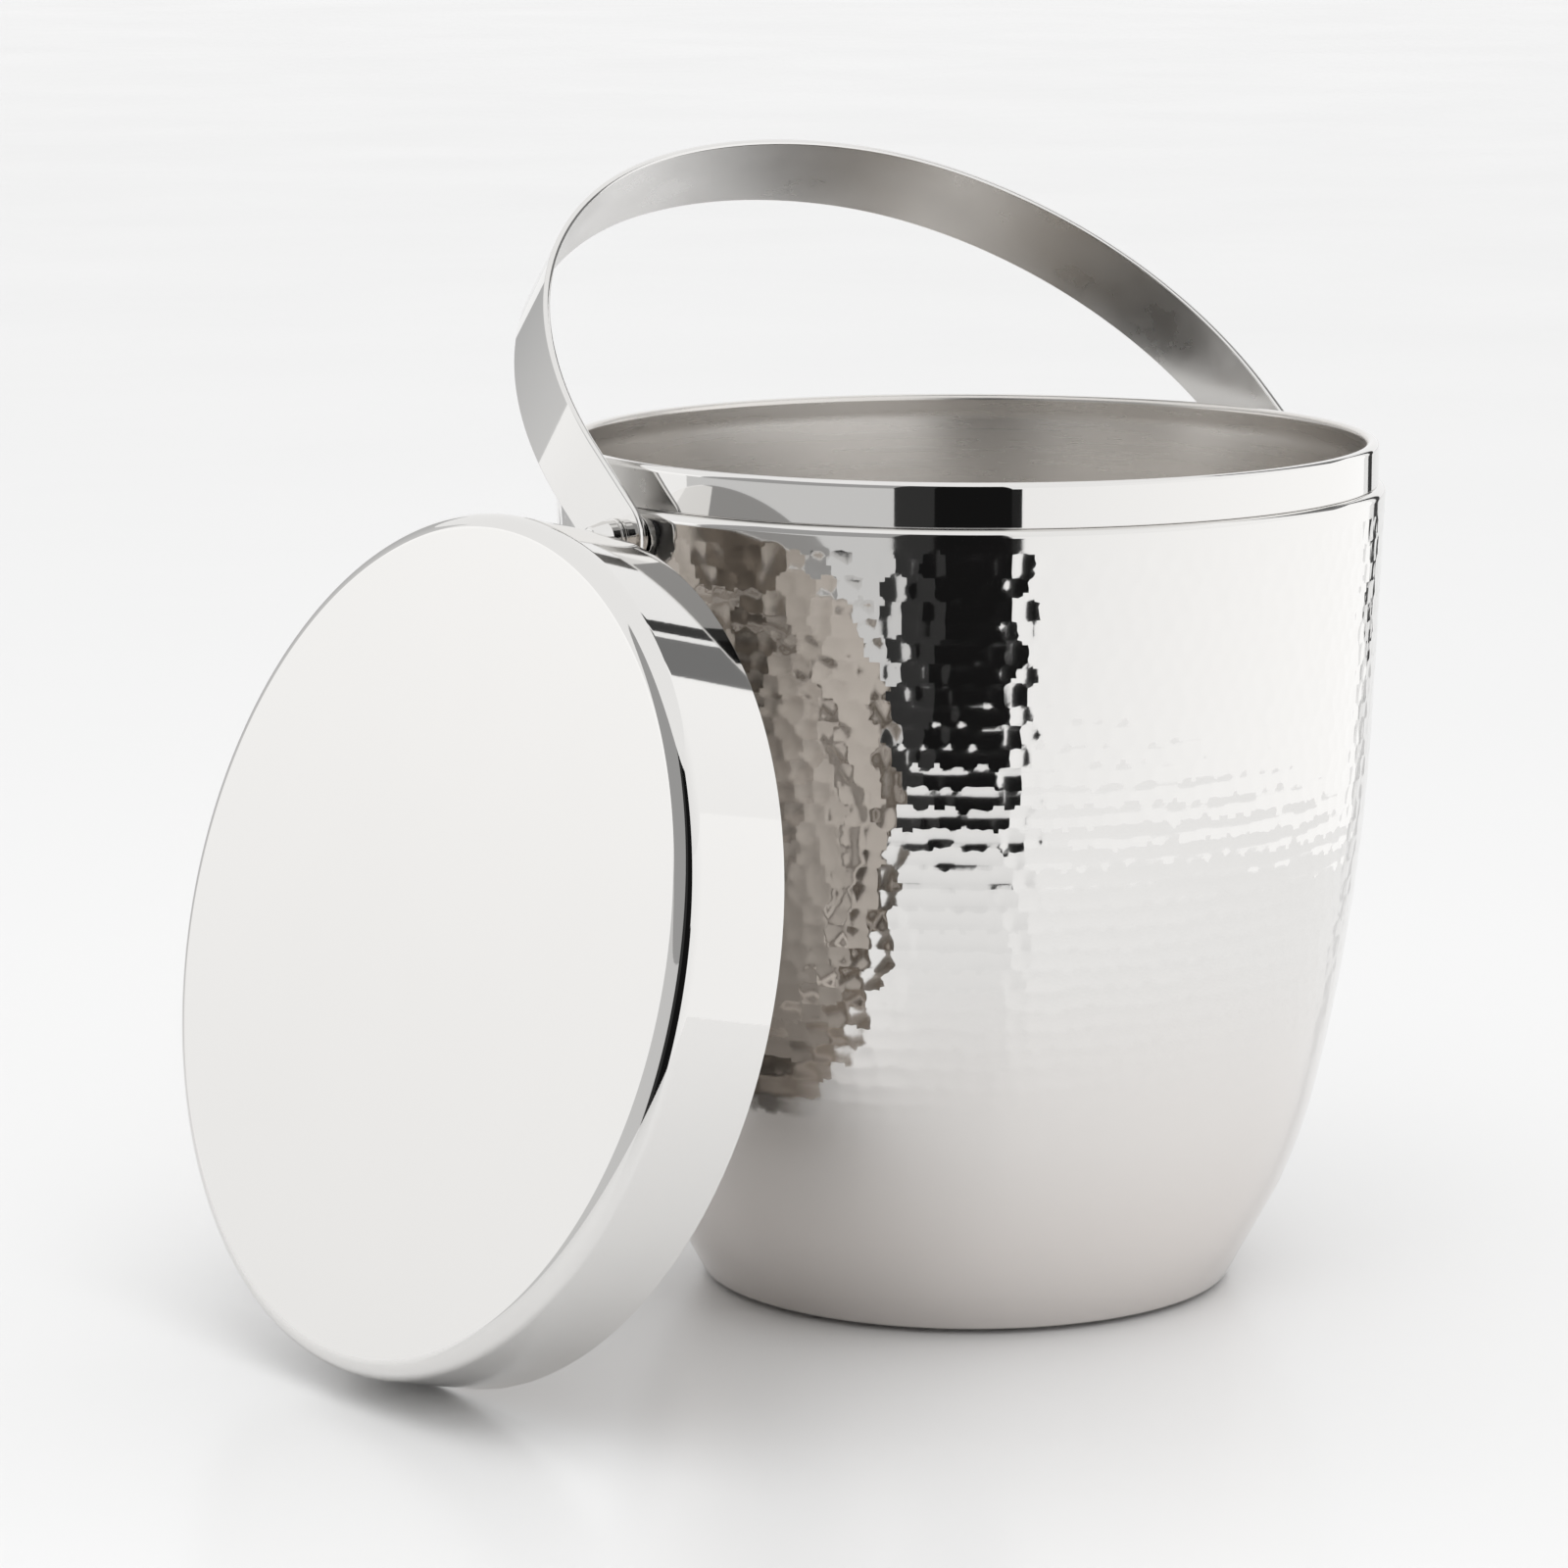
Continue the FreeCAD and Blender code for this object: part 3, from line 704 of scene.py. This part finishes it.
def liner_finish(finish):
    """Mirror collar and rim outside, satin bowl inside with rings left by the spinning tool."""
    steel = Finish("liner_steel")
    haze = steel.noise(20.0, 4.0)
    inside = steel.between(steel.radius(), 0.0982, 0.0972)
    rings = steel.noise(420.0, 3.0, steel.stretched((0.06, 0.06, 1.0)))
    tint = steel.blend(inside, solid(finish.steel), solid(finish.satin))
    polish = steel.between(haze, 0.35, 0.75, finish.mirror * 0.8, finish.mirror * 1.4)
    rough = polish + inside * (finish.brushed + rings * 0.09 - polish)
    return steel.surface(Base_Color=tint, Metallic=1.0, Roughness=rough,
                         Normal=steel.bump(rings * inside, 0.25, 0.00005))


def brushed_strap_finish(finish):
    """The strap's inside: brushed along its length, and cloudy where it wasn't buffed."""
    steel = Finish("strap_inside_steel")
    cloud = steel.noise(24.0, 5.0, steel.stretched((1.0, 2.4, 2.4)))
    hair = steel.noise(900.0, 2.0, steel.stretched((0.06, 1.0, 1.0)))
    tint = steel.shaded(cloud, finish.steel, 0.92)
    rough = steel.between(cloud, 0.35, 0.7, 0.24, 0.36) + hair * 0.03
    return steel.surface(Base_Color=tint, Metallic=1.0, Roughness=rough,
                         Normal=steel.bump(hair, 0.04, 0.00002))


def satin_finish(name, colour, roughness):
    """Satin steel with a soft cloud in its grain."""
    steel = Finish(name)
    cloud = steel.noise(30.0, 4.0)
    grain = steel.noise(1200.0, 2.0)
    tint = steel.shaded(cloud, colour, 0.94)
    rough = steel.between(cloud, 0.3, 0.7, roughness * 0.85, roughness * 1.15) + grain * 0.05
    return steel.surface(Base_Color=tint, Metallic=1.0, Roughness=rough,
                         Normal=steel.bump(grain, 0.12, 0.00004))


def rubber_finish(name, colour, roughness):
    """Matt black rubber or nylon with a moulded grain and a little dust."""
    rubber = Finish(name)
    dust = rubber.noise(60.0, 5.0)
    grain = rubber.noise(1800.0, 2.0)
    tint = rubber.blend(rubber.between(dust, 0.5, 0.8, 0.0, 0.35), solid(colour),
                        solid([part + 0.03 for part in colour]))
    rough = rubber.between(dust, 0.3, 0.8, roughness * 0.9, roughness * 1.15)
    return rubber.surface(Base_Color=tint, Metallic=0.0, Roughness=rough,
                          Normal=rubber.bump(grain, 0.3, 0.00006))


# ---- outlines of the pieces

def wall_outline(wall, floor):
    line = Outline(wall.opening_radius, floor)
    line.run(wall.flat_radius - wall.opening_radius)
    line.bend(wall.heel_radius, wall.heel_turn)
    line.bend(wall.lower_radius, wall.lower_turn)
    line.bend(wall.upper_radius, wall.upper_turn)
    line.run(wall.straight)
    shoulder = line.length
    line.bend(wall.shoulder_radius, math.pi - wall.heel_turn - wall.lower_turn - wall.upper_turn)
    return line.run(wall.flange), shoulder


def liner_outline(liner, shoulder_height):
    line = Outline(liner.collar_radius, shoulder_height, 90)
    line.run(liner.collar_height - liner.rim_radius)
    line.bend(liner.rim_radius, math.pi)
    line.run(liner.neck_drop)
    line.bend(liner.neck_radius, -liner.lean)
    line.run(liner.straight)
    line.bend(liner.upper_radius, -liner.upper_turn)
    line.bend(liner.lower_radius, -liner.lower_turn)
    line.bend(liner.corner_radius, liner.lean + liner.upper_turn + liner.lower_turn - math.pi / 2)
    return line.run(line.end[0])


def cap_outline(lid):
    line = Outline(lid.radius, 0, 90)
    line.run(lid.depth - lid.edge_radius)
    line.bend(lid.edge_radius, math.pi / 2)
    return line.run(line.end[0])


def pan_outline(lid):
    slope = Outline(0, 0)
    slope.bend(lid.step_radius, lid.step_turn).run(lid.step_run).bend(lid.step_radius, -lid.step_turn)
    step_across, step_up = slope.end
    line = Outline(lid.radius - lid.gauge, lid.pan_rise - step_up - lid.pan_corner - lid.pan_flange, 90)
    line.run(lid.pan_flange)
    line.bend(lid.pan_corner, math.pi / 2)
    line.run(line.end[0] - lid.raised_radius - step_across)
    line.bend(lid.step_radius, -lid.step_turn)
    line.run(lid.step_run)
    line.bend(lid.step_radius, lid.step_turn)
    return line.run(lid.raised_radius)


def strap_arch(handle):
    """The strap's middle line, from one end over the crown to the other."""
    inset = handle.bend_radius * (1 - math.cos(handle.bend_turn))
    crown = (handle.half_span - inset) / math.cos(handle.bend_turn)
    arch = Outline(handle.half_span, -handle.width / 2, 90)
    arch.run(handle.width / 2 + handle.leg)
    arch.bend(handle.bend_radius, handle.bend_turn)
    arch.bend(crown, math.pi - 2 * handle.bend_turn)
    arch.bend(handle.bend_radius, handle.bend_turn)
    return arch.run(handle.width / 2 + handle.leg)


def strap_grid(handle, arch):
    """Places and normals of the strap, a row across it at a time, and the column of its inner face.
    Its ends are half rounds, and its edges are rounded all the way round."""
    end = handle.width / 2
    quarter = np.linspace(0, math.pi / 2, TIP_STEPS + 1)
    tip = end * (1 - np.cos(quarter))
    middle = arch.marks(STRAP_STEP, STRAP_LONGEST)
    middle = middle[(middle > end) & (middle < arch.length - end)]
    along = np.concatenate([tip, middle, arch.length - tip[::-1]])
    opening, closing = np.sin(quarter), np.sin(quarter[::-1])
    width = np.concatenate([end * opening, np.full(len(middle), end), end * closing])
    lengthwise = np.concatenate([-np.cos(quarter), np.zeros(len(middle)), np.cos(quarter[::-1])])
    sideways = np.concatenate([opening, np.ones(len(middle)), closing])
    rounds = np.linspace(0, math.pi / 2, EDGE_STEPS + 1)
    profile = [(math.sin(angle), math.cos(angle)) for angle in rounds]
    profile += [(math.cos(angle), -math.sin(angle)) for angle in rounds]
    flat = handle.thickness / 2 - handle.rounding
    rows, facing = [], []
    for hand, order in ((1, profile), (-1, profile[::-1])):
        for outwards, outside in order:
            inset = handle.rounding * (1 - outwards)
            spots, headings = arch.at(along - lengthwise * inset)
            out = to_the_right(headings)
            level = math.copysign(flat, outside) + handle.rounding * outside
            if abs(outside) < TINY:
                level = 0.0
            tangent = np.stack([-out[:, 1], out[:, 0]], 1)
            spots = spots + out * level
            across = hand * np.maximum(width - sideways * inset, 0)
            direction = out * outside + tangent * (lengthwise * outwards)[:, None]
            rows.append(np.stack([spots[:, 0], across, spots[:, 1]], 1))
            facing.append(np.stack([direction[:, 0], hand * sideways * outwards, direction[:, 1]], 1))
    return np.stack(rows, 1), np.stack(facing, 1), len(profile) - 1


def lid_matrix(lid):
    """Stands the lid on the lowest point of its edge, facing along its own lifting axis."""
    joint = next(joint for joint in frame["joints"] if joint["name"] == "lid_lift")
    facing = Vector(joint["axis"]).normalized()
    across = Vector((0, 0, 1)).cross(facing).normalized()
    height = lid.radius * math.cos(lid.tilt) + lid.depth * math.sin(lid.tilt)
    open_edge = Vector((-lid.stand_off, -lid.offset, height)) - facing * lid.depth
    turned = Matrix((across, facing.cross(across), facing)).transposed()
    return Matrix.Translation(open_edge) @ turned.to_4x4()


# ---- operators

class ICEBUCKET_OT_wall(Operator):
    """Make the hammered wall"""

    bl_idname = "ice_bucket.wall"
    bl_label = "Hammered Wall"

    def execute(self, context):
        settings = context.scene.ice_bucket
        wall, marks = settings.wall, settings.hammer
        line, shoulder = wall_outline(wall, settings.base.pad_thickness)
        plain = line.marks(PLAIN_STEP, PLAIN_LONGEST)
        heights = line.at(plain)[0][:, 1]
        rising = plain < shoulder
        bottom = float(np.interp(marks.lowest_height, heights[rising], plain[rising]))
        struck = np.linspace(bottom, shoulder, marks.rows)
        under = plain[plain < bottom - (struck[1] - struck[0])]
        face = np.concatenate([under, struck, plain[plain > shoulder]])
        section = sheet_section(line, wall.gauge, face, line.marks(BACK_STEP, BACK_LONGEST))
        places, normals = turned_grid(*section, marks.columns)
        strikes = Strikes(marks, line, shoulder - marks.plain_band, bottom + marks.row_pitch)
        first = int(np.argmin(np.abs(face - bottom)))
        block = slice(first, first + len(struck))
        places[block], normals[block], corners = hammered_grid(marks, line, strikes, struck)
        grid_piece("hammered_wall", places, normals, True, hammered_finish(settings.finish), "bucket",
                   "hammered_steel", ["outer_shell"], creased=(first, corners))
        return {"FINISHED"}


class ICEBUCKET_OT_liner(Operator):
    """Make the collar, the rolled rim and the bowl"""

    bl_idname = "ice_bucket.liner"
    bl_label = "Collar and Bowl"

    def execute(self, context):
        settings = context.scene.ice_bucket
        liner = settings.liner
        line = liner_outline(liner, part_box("outer_shell")[1].z)
        turned_piece("collar_and_bowl", sheet_section(line, liner.gauge), liner.columns,
                     finish=liner_finish(settings.finish), body="bucket", slot="satin_steel",
                     replaced=["inner_liner"])
        return {"FINISHED"}


class ICEBUCKET_OT_base(Operator):
    """Make the grooved pad under the bucket"""

    bl_idname = "ice_bucket.base"
    bl_label = "Base Pad"

    def execute(self, context):
        settings = context.scene.ice_bucket
        base = settings.base
        corners = [(0, 0)]
        groove = base.groove_pitch
        while groove < base.pad_radius - base.groove_pitch / 2:
            inner, outer = groove - base.groove_width / 2, groove + base.groove_width / 2
            roof = base.groove_depth
            corners += [(inner, 0), (inner, roof), (outer, roof), (outer, 0)]
            groove += base.groove_pitch
        top = base.pad_thickness
        corners += [(base.pad_radius, 0), (base.pad_radius, top), (0, top)]
        turned_piece("grooved_pad", turned_section(corners, base.rounding), base.columns,
                     finish=rubber_finish("pad_rubber", settings.finish.rubber, 0.6),
                     body="bucket", slot="pad_rubber", replaced=["base_pad"])
        return {"FINISHED"}


class ICEBUCKET_OT_handle(Operator):
    """Make the bent strap of the handle"""

    bl_idname = "ice_bucket.handle"
    bl_label = "Handle"

    def execute(self, context):
        settings = context.scene.ice_bucket
        handle, finish = settings.handle, settings.finish
        inside = brushed_strap_finish(finish)
        arch = strap_arch(handle)
        places, normals, inner = strap_grid(handle, arch)
        pose = Matrix.Translation((0, 0, settings.pivot.height)) @ Matrix.Rotation(-handle.lean, 4, "X")
        grid_piece("handle_strap", places, normals, False,
                   mirror_finish("strap_steel", finish.steel, finish.mirror), "handle",
                   "polished_steel", ["handle_band"], pose, inner=(inner, inside))
        return {"FINISHED"}


class ICEBUCKET_OT_pivots(Operator):
    """Make the boss, the washers and the cap nut of both pivots"""

    bl_idname = "ice_bucket.pivots"
    bl_label = "Pivots"

    def execute(self, context):
        settings = context.scene.ice_bucket
        pivot = settings.pivot
        polished = mirror_finish("fitting_steel", settings.finish.steel, settings.finish.mirror * 1.4)
        nylon = rubber_finish("washer_nylon", settings.finish.washer, 0.42)

        def ring(radius, start, end):
            return [(pivot.bore, start), (radius, start), (radius, end), (pivot.bore, end)]

        nut = [(0, pivot.nut_start), (pivot.nut_radius, pivot.nut_start),
               (pivot.nut_radius, pivot.nut_shoulder, pivot.tip_rounding),
               (pivot.nut_tip, pivot.nut_end, pivot.tip_rounding), (0, pivot.nut_end)]
        boss = ring(pivot.boss_radius, pivot.boss_start, pivot.boss_end)
        friction_washer = ring(pivot.washer_radius, pivot.boss_end, pivot.washer_end)
        outer_washer = ring(pivot.outer_radius, pivot.outer_start, pivot.nut_start)
        pieces = (
            ("pivot_boss", boss, polished, "fitting_steel"),
            ("friction_washer", friction_washer, nylon, "washer_plastic"),
            ("outer_washer", outer_washer, polished, "fitting_steel"),
            ("cap_nut", nut, polished, "fitting_steel"),
        )
        for side, sign in SIDES.items():
            pose = Matrix.Translation((0, 0, pivot.height)) @ Matrix.Rotation(sign * math.pi / 2, 4, "Y")
            for name, corners, finish, slot in pieces:
                section = turned_section(corners, pivot.rounding)
                turned_piece(f"turned_{name}_{side}", section, pivot.columns, finish=finish,
                             body="bucket", slot=slot, replaced=[f"{name}_{side}"], matrix=pose)
        return {"FINISHED"}


class ICEBUCKET_OT_lid(Operator):
    """Make the lid's cap and its inner pan"""

    bl_idname = "ice_bucket.lid"
    bl_label = "Lid"

    def execute(self, context):
        settings = context.scene.ice_bucket
        lid, finish = settings.lid, settings.finish
        pose = lid_matrix(lid)
        turned_piece("lid_cap_pressed", sheet_section(cap_outline(lid), lid.gauge), lid.columns,
                     finish=mirror_finish("lid_steel", finish.steel, finish.mirror),
                     body="lid", slot="lid_steel", replaced=["lid_cap"], matrix=pose)
        turned_piece("lid_pan_pressed", sheet_section(pan_outline(lid), lid.gauge), lid.columns,
                     finish=satin_finish("lid_pan_steel", finish.pan, finish.brushed * 0.6),
                     body="lid", slot="satin_steel", replaced=["lid_liner"], matrix=pose)
        return {"FINISHED"}


class ICEBUCKET_OT_hidden_pieces(Operator):
    """Give the plain pieces that the frame carries their finish"""

    bl_idname = "ice_bucket.hidden_pieces"
    bl_label = "Plain Pieces"

    def execute(self, context):
        settings = context.scene.ice_bucket
        mill = satin_finish("mill_steel", settings.finish.mill, 0.4)
        paired = [f"{name}_{side}" for name in ("backing_washer", "pivot_bolt") for side in SIDES]
        for name in ["base_plate", *paired]:
            node = frame["nodes"][name]
            node.data.materials.clear()
            node.data.materials.append(mill)
        return {"FINISHED"}


# ---- studio

def staged(piece):
    bpy.context.scene.collection.objects.link(piece)
    return piece


def glow(name, low, high, start, stop, axis):
    """A card's even glow, which may grow from one end of the card to the other along an axis."""
    card = Finish(name)
    across = card.node("ShaderNodeSeparateXYZ", {}, {0: card.place}, axis)
    share = card.between(across, start, stop)
    light = card.blend(share, (low, low, low, 1.0), (high, high, high, 1.0))
    lamp = card.node("ShaderNodeEmission", {}, {"Color": light, "Strength": 1.0})
    card.node("ShaderNodeOutputMaterial", {}, {"Surface": lamp})
    return card.material


def curved_card(name, bearings, distance, heights, shine, along_z=False):
    """A card that stands round the bucket between two bearings, seen only in reflections. Its shine
    goes from one value to the other between its ends, or between its foot and its top."""
    angles = np.radians(np.linspace(*bearings, CARD_STEPS + 1))
    ring = np.stack([np.cos(angles), np.sin(angles)], 1) * distance
    places = [(x, y, z) for z in heights for x, y in ring]
    count = len(angles)
    faces = [(i, i + 1, count + i + 1, count + i) for i in range(count - 1)]
    mesh = bpy.data.meshes.new(name)
    mesh.from_pydata(places, [], faces)
    span = (*heights, 2) if along_z else (ring[0][0], ring[-1][0], 0)
    mesh.materials.append(glow(name, *shine, *span))
    card = staged(bpy.data.objects.new(name, mesh))
    card.visible_camera = card.visible_diffuse = card.visible_shadow = False


class ICEBUCKET_OT_studio(Operator):
    """Make the floor, the cards, the lights and the camera"""

    bl_idname = "ice_bucket.studio"
    bl_label = "Studio"

    def execute(self, context):
        studio = context.scene.ice_bucket.studio
        self.floor(studio)
        self.cards(studio)
        self.lights(studio)
        self.camera(studio)
        return {"FINISHED"}

    def floor(self, studio):
        pale = Finish("studio_floor")
        mottle = pale.noise(3.0, 2.0)
        tint = pale.shaded(mottle, studio.floor, 0.985)
        rough = pale.between(mottle, 0.3, 0.7, 0.20, 0.26)
        finish = pale.surface(Base_Color=tint, Roughness=rough, Specular_IOR_Level=0.22)
        corners = ((-1, -1), (1, -1), (1, 1), (-1, 1))
        places = [(x * FLOOR_REACH, y * FLOOR_REACH, -FLOOR_DROP) for x, y in corners]
        mesh = bpy.data.meshes.new("studio_floor")
        mesh.from_pydata(places, [], [(0, 1, 2, 3)])
        mesh.materials.append(finish)
        staged(bpy.data.objects.new("studio_floor", mesh))

    def cards(self, studio):
        near, far = studio.card_distance, studio.card_distance * 2
        curved_card("back_card", bearings=(78, 118), distance=far, heights=(-0.01, 0.6),
                    shine=(0.48, 0.68))
        curved_card("lid_card", bearings=(118, 156), distance=far, heights=(-0.01, 0.5),
                    shine=(0.99, 1.2), along_z=True)
        curved_card("grey_card", bearings=(153, 212), distance=near, heights=(0.0, 0.22),
                    shine=(0.66, 0.66))
        curved_card("high_grey_card", bearings=(158, 212), distance=near, heights=(0.22, 0.75),
                    shine=(0.38, 0.38))
        curved_card("dark_card", bearings=(212, 222), distance=near, heights=(0.0, 0.75),
                    shine=(0.035, 0.035))
        curved_card("black_card", bearings=(222, 241), distance=near, heights=(0.0, 0.75),
                    shine=(0.008, 0.008))
        curved_card("black_card_foot", bearings=(241, 243.5), distance=near, heights=(0.0, 0.26),
                    shine=(0.02, 0.02))
        curved_card("white_card", bearings=(243.5, 365), distance=near, heights=(0.0, 0.42),
                    shine=(1.02, 1.16))
        curved_card("high_white_card", bearings=(241, 352), distance=near, heights=(0.42, 0.9),
                    shine=(0.95, 1.1))
        curved_card("high_dim_card", bearings=(352, 371), distance=near, heights=(0.42, 0.9),
                    shine=(0.2, 0.2))
        curved_card("far_black_card", bearings=(15, 20), distance=far, heights=(0.0, 1.4),
                    shine=(0.05, 0.05))

    def lights(self, studio):
        world = bpy.data.worlds.new("studio_walls")
        world.use_nodes = True
        walls = world.node_tree.nodes["Background"]
        walls.inputs["Color"].default_value = (1.0, 1.0, 1.0, 1.0)
        walls.inputs["Strength"].default_value = studio.sky
        bpy.context.scene.world = world
        lamp = bpy.data.lights.new("key_softbox", "AREA")
        lamp.shape = "RECTANGLE"
        lamp.size = lamp.size_y = KEY_SIZE
        lamp.energy = studio.key
        softbox = bpy.data.objects.new("key_softbox", lamp)
        softbox.location = KEY_PLACE
        softbox.rotation_euler = (KEY_AIM - softbox.location).to_track_quat("-Z", "Y").to_euler()
        softbox.visible_glossy = False
        bpy.context.scene.collection.objects.link(softbox)

    def camera(self, studio):
        lens = bpy.data.cameras.new("studio_camera")
        lens.sensor_width = CAMERA_SENSOR
        lens.lens = studio.lens
        lens.clip_start = CAMERA_NEAREST
        lens.dof.use_dof = False
        camera = bpy.data.objects.new("studio_camera", lens)
        stance = Vector((math.sin(studio.azimuth), -math.cos(studio.azimuth), 0))
        camera.location = stance * studio.distance + Vector((0, 0, studio.height))
        bearing = math.atan2(-stance.y, -stance.x) + studio.pan
        level = Vector((math.cos(bearing), math.sin(bearing), 0)) * math.cos(studio.tilt)
        gaze = level - Vector((0, 0, math.sin(studio.tilt)))
        camera.rotation_euler = gaze.to_track_quat("-Z", "Y").to_euler()
        bpy.context.scene.collection.objects.link(camera)
        bpy.context.scene.camera = camera
        bpy.context.scene.view_settings.view_transform = "Standard"


# ---- panel and registration

PIECE_OPERATORS = (
    ICEBUCKET_OT_wall,
    ICEBUCKET_OT_liner,
    ICEBUCKET_OT_base,
    ICEBUCKET_OT_handle,
    ICEBUCKET_OT_pivots,
    ICEBUCKET_OT_lid,
    ICEBUCKET_OT_hidden_pieces,
    ICEBUCKET_OT_studio,
)


class ICEBUCKET_PT_panel(Panel):
    """Lists the pieces and their settings"""

    bl_idname = "ICEBUCKET_PT_panel"
    bl_label = "Ice Bucket"
    bl_space_type = "VIEW_3D"
    bl_region_type = "UI"
    bl_category = "Ice Bucket"

    def draw(self, context):
        settings = context.scene.ice_bucket
        for operator in PIECE_OPERATORS:
            self.layout.operator(operator.bl_idname)
        for name in BucketSettings.__annotations__:
            box = self.layout.box()
            box.label(text=name.title())
            for key in getattr(settings, name).__annotations__:
                box.prop(getattr(settings, name), key)


CLASSES = (WallSizes, HammerMarks, LinerSizes, BaseSizes, HandleSizes, PivotSizes, LidSizes, Finishes,
           StudioSettings, BucketSettings, *PIECE_OPERATORS, ICEBUCKET_PT_panel)


def register():
    for listed in CLASSES:
        bpy.utils.register_class(listed)
    bpy.types.Scene.ice_bucket = PointerProperty(type=BucketSettings, name="Ice bucket",
                                                 description="Sizes, finishes and studio of the bucket")


def unregister():
    del bpy.types.Scene.ice_bucket
    for listed in reversed(CLASSES):
        bpy.utils.unregister_class(listed)


def main():
    register()
    for operator in PIECE_OPERATORS:
        group, name = operator.bl_idname.split(".")
        getattr(getattr(bpy.ops, group), name)()


if __name__ == "__main__":
    main()
